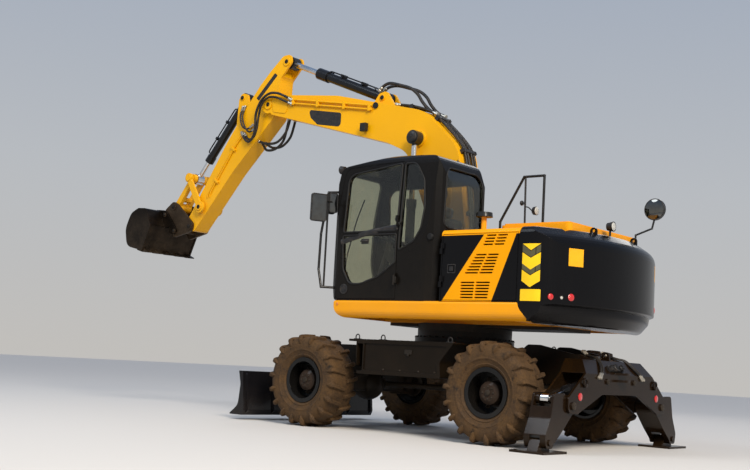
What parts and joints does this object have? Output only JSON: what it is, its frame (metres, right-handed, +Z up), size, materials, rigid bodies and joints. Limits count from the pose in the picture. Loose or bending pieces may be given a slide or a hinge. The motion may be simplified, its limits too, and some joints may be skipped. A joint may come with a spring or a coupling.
{
  "type": "wheeled excavator",
  "caption": "Wheeled excavator with a slewing house, cab, jointed digging arm and bucket, rear stabiliser legs, front blade, steered axle and four lugged wheels.",
  "frame": {"origin": "middle of the machine's box on the ground", "axes": "+X forward towards the bucket, +Y to the machine's left, +Z up"},
  "size_m": [8.1785, 3.19, 4.9964],
  "materials": {
    "chassis_paint": "matt black paint under dried mud",
    "arm_paint": "amber gloss paint",
    "deck_paint": "amber gloss paint",
    "black_paint": "black gloss paint",
    "axle_iron": "cast, dusty",
    "stab_paint": "black paint, dusty",
    "rod_chrome": "polished",
    "barrel_paint": "black paint",
    "tyre_rubber": "dusty rubber",
    "rim_paint": "black paint, dusty",
    "bucket_steel": "worn dark steel",
    "hitch_steel": "rusty and dusty steel",
    "window": "clear tinted",
    "seat_fabric": "woven",
    "engine_iron": "cast",
    "rail_paint": "black paint"
  },
  "bodies": {
    "chassis": {"chassis": "chassis_paint", "lockers": "chassis_paint", "slew_ring": "axle_iron", "driveline": "axle_iron", "rear_axle": "axle_iron", "front_axle": "axle_iron", "stab_frame": "stab_paint"},
    "steer_rod": {"steer_rod": "rod_chrome"},
    "knuckle_l": {"knuckle_l": "axle_iron"},
    "knuckle_r": {"knuckle_r": "axle_iron"},
    "wheel_fl": {"rim_fl": "rim_paint", "tyre_fl": "tyre_rubber"},
    "wheel_fr": {"rim_fr": "rim_paint", "tyre_fr": "tyre_rubber"},
    "wheel_rl": {"rim_rl": "rim_paint", "tyre_rl": "tyre_rubber"},
    "wheel_rr": {"rim_rr": "rim_paint", "tyre_rr": "tyre_rubber"},
    "leg_l": {"stab_leg_l": "stab_paint"},
    "leg_r": {"stab_leg_r": "stab_paint"},
    "foot_l": {"stab_pad_l": "stab_paint"},
    "foot_r": {"stab_pad_r": "stab_paint"},
    "stab_tube_l": {"stab_tube_l": "barrel_paint"},
    "stab_tube_r": {"stab_tube_r": "barrel_paint"},
    "stab_rod_l": {"stab_rod_l": "rod_chrome"},
    "stab_rod_r": {"stab_rod_r": "rod_chrome"},
    "blade_arms": {"blade_arms": "stab_paint"},
    "blade": {"blade": "stab_paint"},
    "blade_links": {"blade_links": "stab_paint"},
    "blade_tubes": {"blade_tubes": "barrel_paint"},
    "blade_rods": {"blade_rods": "rod_chrome"},
    "house": {"deck": "deck_paint", "boom_tower": "arm_paint", "counterweight": "black_paint", "cowl": "deck_paint", "engine": "engine_iron", "tank_box": "deck_paint", "rails": "rail_paint", "cab_shell": "black_paint", "cab_glass": "window", "operator_chair": "seat_fabric", "cab_controls": "black_paint", "lamps": "black_paint"},
    "hood": {"hood": "deck_paint"},
    "service_door_l": {"service_door_l": "black_paint"},
    "service_door_r": {"service_door_r": "black_paint"},
    "cab_door": {"cab_door": "black_paint", "door_glass": "window"},
    "boom": {"boom": "arm_paint"},
    "boom_tubes": {"boom_tubes": "barrel_paint"},
    "boom_rods": {"boom_rods": "rod_chrome"},
    "dipper": {"dipper": "arm_paint"},
    "dipper_tube": {"dipper_tube": "barrel_paint"},
    "dipper_rod": {"dipper_rod": "rod_chrome"},
    "bucket_tube": {"bucket_tube": "barrel_paint"},
    "bucket_rod": {"bucket_rod": "rod_chrome"},
    "rocker": {"rocker": "arm_paint"},
    "link": {"link": "arm_paint"},
    "bucket": {"hitch": "hitch_steel", "bucket": "bucket_steel"}
  },
  "joints": [
    {"name": "slew", "type": "hinge", "parent": "chassis", "child": "house", "pos_m": [-1.905, 0, 1.2], "axis": [0, 0, 1], "continuous": true},
    {"name": "steer", "type": "hinge", "parent": "chassis", "child": "knuckle_l", "pos_m": [-0.455, 0.8, 0.541], "axis": [0, 0, 1], "range_deg": [-30, 30]},
    {"name": "steer_right", "type": "hinge", "parent": "chassis", "child": "knuckle_r", "pos_m": [-0.455, -0.8, 0.541], "axis": [0, 0, 1], "range_deg": [-30, 30]},
    {"name": "steer_rod_slide", "type": "slide", "parent": "chassis", "child": "steer_rod", "axis": [0, 1, 0], "range_m": [-0.1, 0.1]},
    {"name": "wheel_fl_spin", "type": "hinge", "parent": "knuckle_l", "child": "wheel_fl", "pos_m": [-0.455, 1.042, 0.541], "axis": [0, 1, 0], "continuous": true},
    {"name": "wheel_fr_spin", "type": "hinge", "parent": "knuckle_r", "child": "wheel_fr", "pos_m": [-0.455, -1.042, 0.541], "axis": [0, 1, 0], "continuous": true},
    {"name": "wheel_rl_spin", "type": "hinge", "parent": "chassis", "child": "wheel_rl", "pos_m": [-3.055, 1.042, 0.541], "axis": [0, 1, 0], "continuous": true},
    {"name": "wheel_rr_spin", "type": "hinge", "parent": "chassis", "child": "wheel_rr", "pos_m": [-3.055, -1.042, 0.541], "axis": [0, 1, 0], "continuous": true},
    {"name": "stab_l", "type": "hinge", "parent": "chassis", "child": "leg_l", "pos_m": [-3.81, 1, 0.465], "axis": [1, 0, 0], "range_deg": [0, 80]},
    {"name": "foot_tilt_l", "type": "hinge", "parent": "leg_l", "child": "foot_l", "pos_m": [-3.81, 1.375, 0.105], "axis": [1, 0, 0], "range_deg": [-12, 12]},
    {"name": "stab_tube_l_swing", "type": "hinge", "parent": "chassis", "child": "stab_tube_l", "pos_m": [-3.81, 0.3, 0.725], "axis": [1, 0, 0], "range_deg": [-2, 15]},
    {"name": "stab_rod_l_slide", "type": "slide", "parent": "stab_tube_l", "child": "stab_rod_l", "axis": [0, 0.9798, -0.2001], "range_m": [-0.32, 0.02]},
    {"name": "stab_r", "type": "hinge", "parent": "chassis", "child": "leg_r", "pos_m": [-3.81, -1, 0.465], "axis": [-1, 0, 0], "range_deg": [0, 80]},
    {"name": "foot_tilt_r", "type": "hinge", "parent": "leg_r", "child": "foot_r", "pos_m": [-3.81, -1.375, 0.105], "axis": [-1, 0, 0], "range_deg": [-12, 12]},
    {"name": "stab_tube_r_swing", "type": "hinge", "parent": "chassis", "child": "stab_tube_r", "pos_m": [-3.81, -0.3, 0.725], "axis": [-1, 0, 0], "range_deg": [-2, 15]},
    {"name": "stab_rod_r_slide", "type": "slide", "parent": "stab_tube_r", "child": "stab_rod_r", "axis": [0, -0.9798, -0.2001], "range_m": [-0.32, 0.02]},
    {"name": "blade_lift", "type": "hinge", "parent": "chassis", "child": "blade_arms", "pos_m": [-0.105, 0, 0.5], "axis": [0, -1, 0], "range_deg": [-8, 40]},
    {"name": "blade_level", "type": "hinge", "parent": "blade_arms", "child": "blade", "pos_m": [0.425, 0, 0.29], "axis": [0, -1, 0], "range_deg": [-41, 9]},
    {"name": "blade_link_swing", "type": "hinge", "parent": "chassis", "child": "blade_links", "pos_m": [-0.105, 0, 0.7], "axis": [0, -1, 0], "range_deg": [-9, 41]},
    {"name": "blade_tube_swing", "type": "hinge", "parent": "chassis", "child": "blade_tubes", "pos_m": [-0.075, 0, 0.84], "axis": [0, -1, 0], "range_deg": [-8, 42]},
    {"name": "blade_rod_slide", "type": "slide", "parent": "blade_tubes", "child": "blade_rods", "axis": [0.6357, 0, -0.7719], "range_m": [-0.26, 0.06]},
    {"name": "cab_door_swing", "type": "hinge", "parent": "house", "child": "cab_door", "pos_m": [-1.788, 1.252, 1.7], "axis": [0, 0, -1], "range_deg": [-165, 0]},
    {"name": "service_door_l_swing", "type": "hinge", "parent": "house", "child": "service_door_l", "pos_m": [-2.427, 1.252, 1.7], "axis": [0, 0, -1], "range_deg": [0, 110]},
    {"name": "service_door_r_swing", "type": "hinge", "parent": "house", "child": "service_door_r", "pos_m": [-2.427, -1.252, 1.7], "axis": [0, 0, 1], "range_deg": [0, 110]},
    {"name": "hood_lift", "type": "hinge", "parent": "house", "child": "hood", "pos_m": [-2.834, 0, 2.281], "axis": [0, 1, 0], "range_deg": [0, 50]},
    {"name": "boom_lift", "type": "hinge", "parent": "house", "child": "boom", "pos_m": [-1.905, 0, 1.8], "axis": [0, -1, 0], "range_deg": [-55, 24]},
    {"name": "boom_tube_swing", "type": "hinge", "parent": "house", "child": "boom_tubes", "pos_m": [-1.205, 0, 1.54], "axis": [0, -1, 0], "range_deg": [-60, 30]},
    {"name": "boom_rod_slide", "type": "slide", "parent": "boom_tubes", "child": "boom_rods", "axis": [0, 0, 1], "range_m": [-0.76, 0.36]},
    {"name": "dipper_swing", "type": "hinge", "parent": "boom", "child": "dipper", "pos_m": [1.495, 0, 4.3], "axis": [0, 1, 0], "range_deg": [-38, 62]},
    {"name": "dipper_tube_swing", "type": "hinge", "parent": "boom", "child": "dipper_tube", "pos_m": [-0.505, 0, 4.2], "axis": [0, -1, 0], "range_deg": [-6, 6]},
    {"name": "dipper_rod_slide", "type": "slide", "parent": "dipper_tube", "child": "dipper_rod", "axis": [0.9285, 0, 0.3714], "range_m": [-0.42, 0.66]},
    {"name": "bucket_tilt", "type": "hinge", "parent": "dipper", "child": "bucket", "pos_m": [3.015, 0, 2.635], "axis": [0, -1, 0], "range_deg": [-105, 32]},
    {"name": "rocker_swing", "type": "hinge", "parent": "dipper", "child": "rocker", "pos_m": [2.795, 0, 2.91], "axis": [0, -1, 0], "range_deg": [-97, 40]},
    {"name": "link_swing", "type": "hinge", "parent": "bucket", "child": "link", "pos_m": [3.395, 0, 2.94], "axis": [0, -1, 0], "range_deg": [-30, 73]},
    {"name": "bucket_tube_swing", "type": "hinge", "parent": "dipper", "child": "bucket_tube", "pos_m": [2.13, 0, 4.485], "axis": [0, -1, 0], "range_deg": [-8, 6]},
    {"name": "bucket_rod_slide", "type": "slide", "parent": "bucket_tube", "child": "bucket_rod", "axis": [0.6432, 0, -0.7657], "range_m": [-0.32, 0.78]}
  ],
  "couplings": [
    {"joint": "steer_right", "follows": "steer", "ratio": 1},
    {"joint": "steer_rod_slide", "follows": "steer", "m_per_rad": 0.158},
    {"joint": "stab_tube_l_swing", "follows": "stab_l", "ratio": 0.173},
    {"joint": "stab_rod_l_slide", "follows": "stab_l", "m_per_rad": -0.1984},
    {"joint": "stab_tube_r_swing", "follows": "stab_r", "ratio": 0.173},
    {"joint": "stab_rod_r_slide", "follows": "stab_r", "m_per_rad": -0.1984},
    {"joint": "blade_level", "follows": "blade_lift", "ratio": -1},
    {"joint": "blade_link_swing", "follows": "blade_lift", "ratio": 1},
    {"joint": "blade_tube_swing", "follows": "blade_lift", "ratio": 0.852},
    {"joint": "blade_rod_slide", "follows": "blade_lift", "m_per_rad": -0.3028},
    {"joint": "boom_tube_swing", "follows": "boom_lift", "ratio": 0.974},
    {"joint": "boom_rod_slide", "follows": "boom_lift", "m_per_rad": 0.7036},
    {"joint": "dipper_tube_swing", "follows": "dipper_swing", "ratio": -0.0533},
    {"joint": "dipper_rod_slide", "follows": "dipper_swing", "m_per_rad": 0.5795},
    {"joint": "rocker_swing", "follows": "bucket_tilt", "ratio": 0.823},
    {"joint": "link_swing", "follows": "bucket_tilt", "ratio": -0.621},
    {"joint": "bucket_tube_swing", "follows": "bucket_tilt", "ratio": 0.0396},
    {"joint": "bucket_rod_slide", "follows": "bucket_tilt", "m_per_rad": -0.3702}
  ]
}
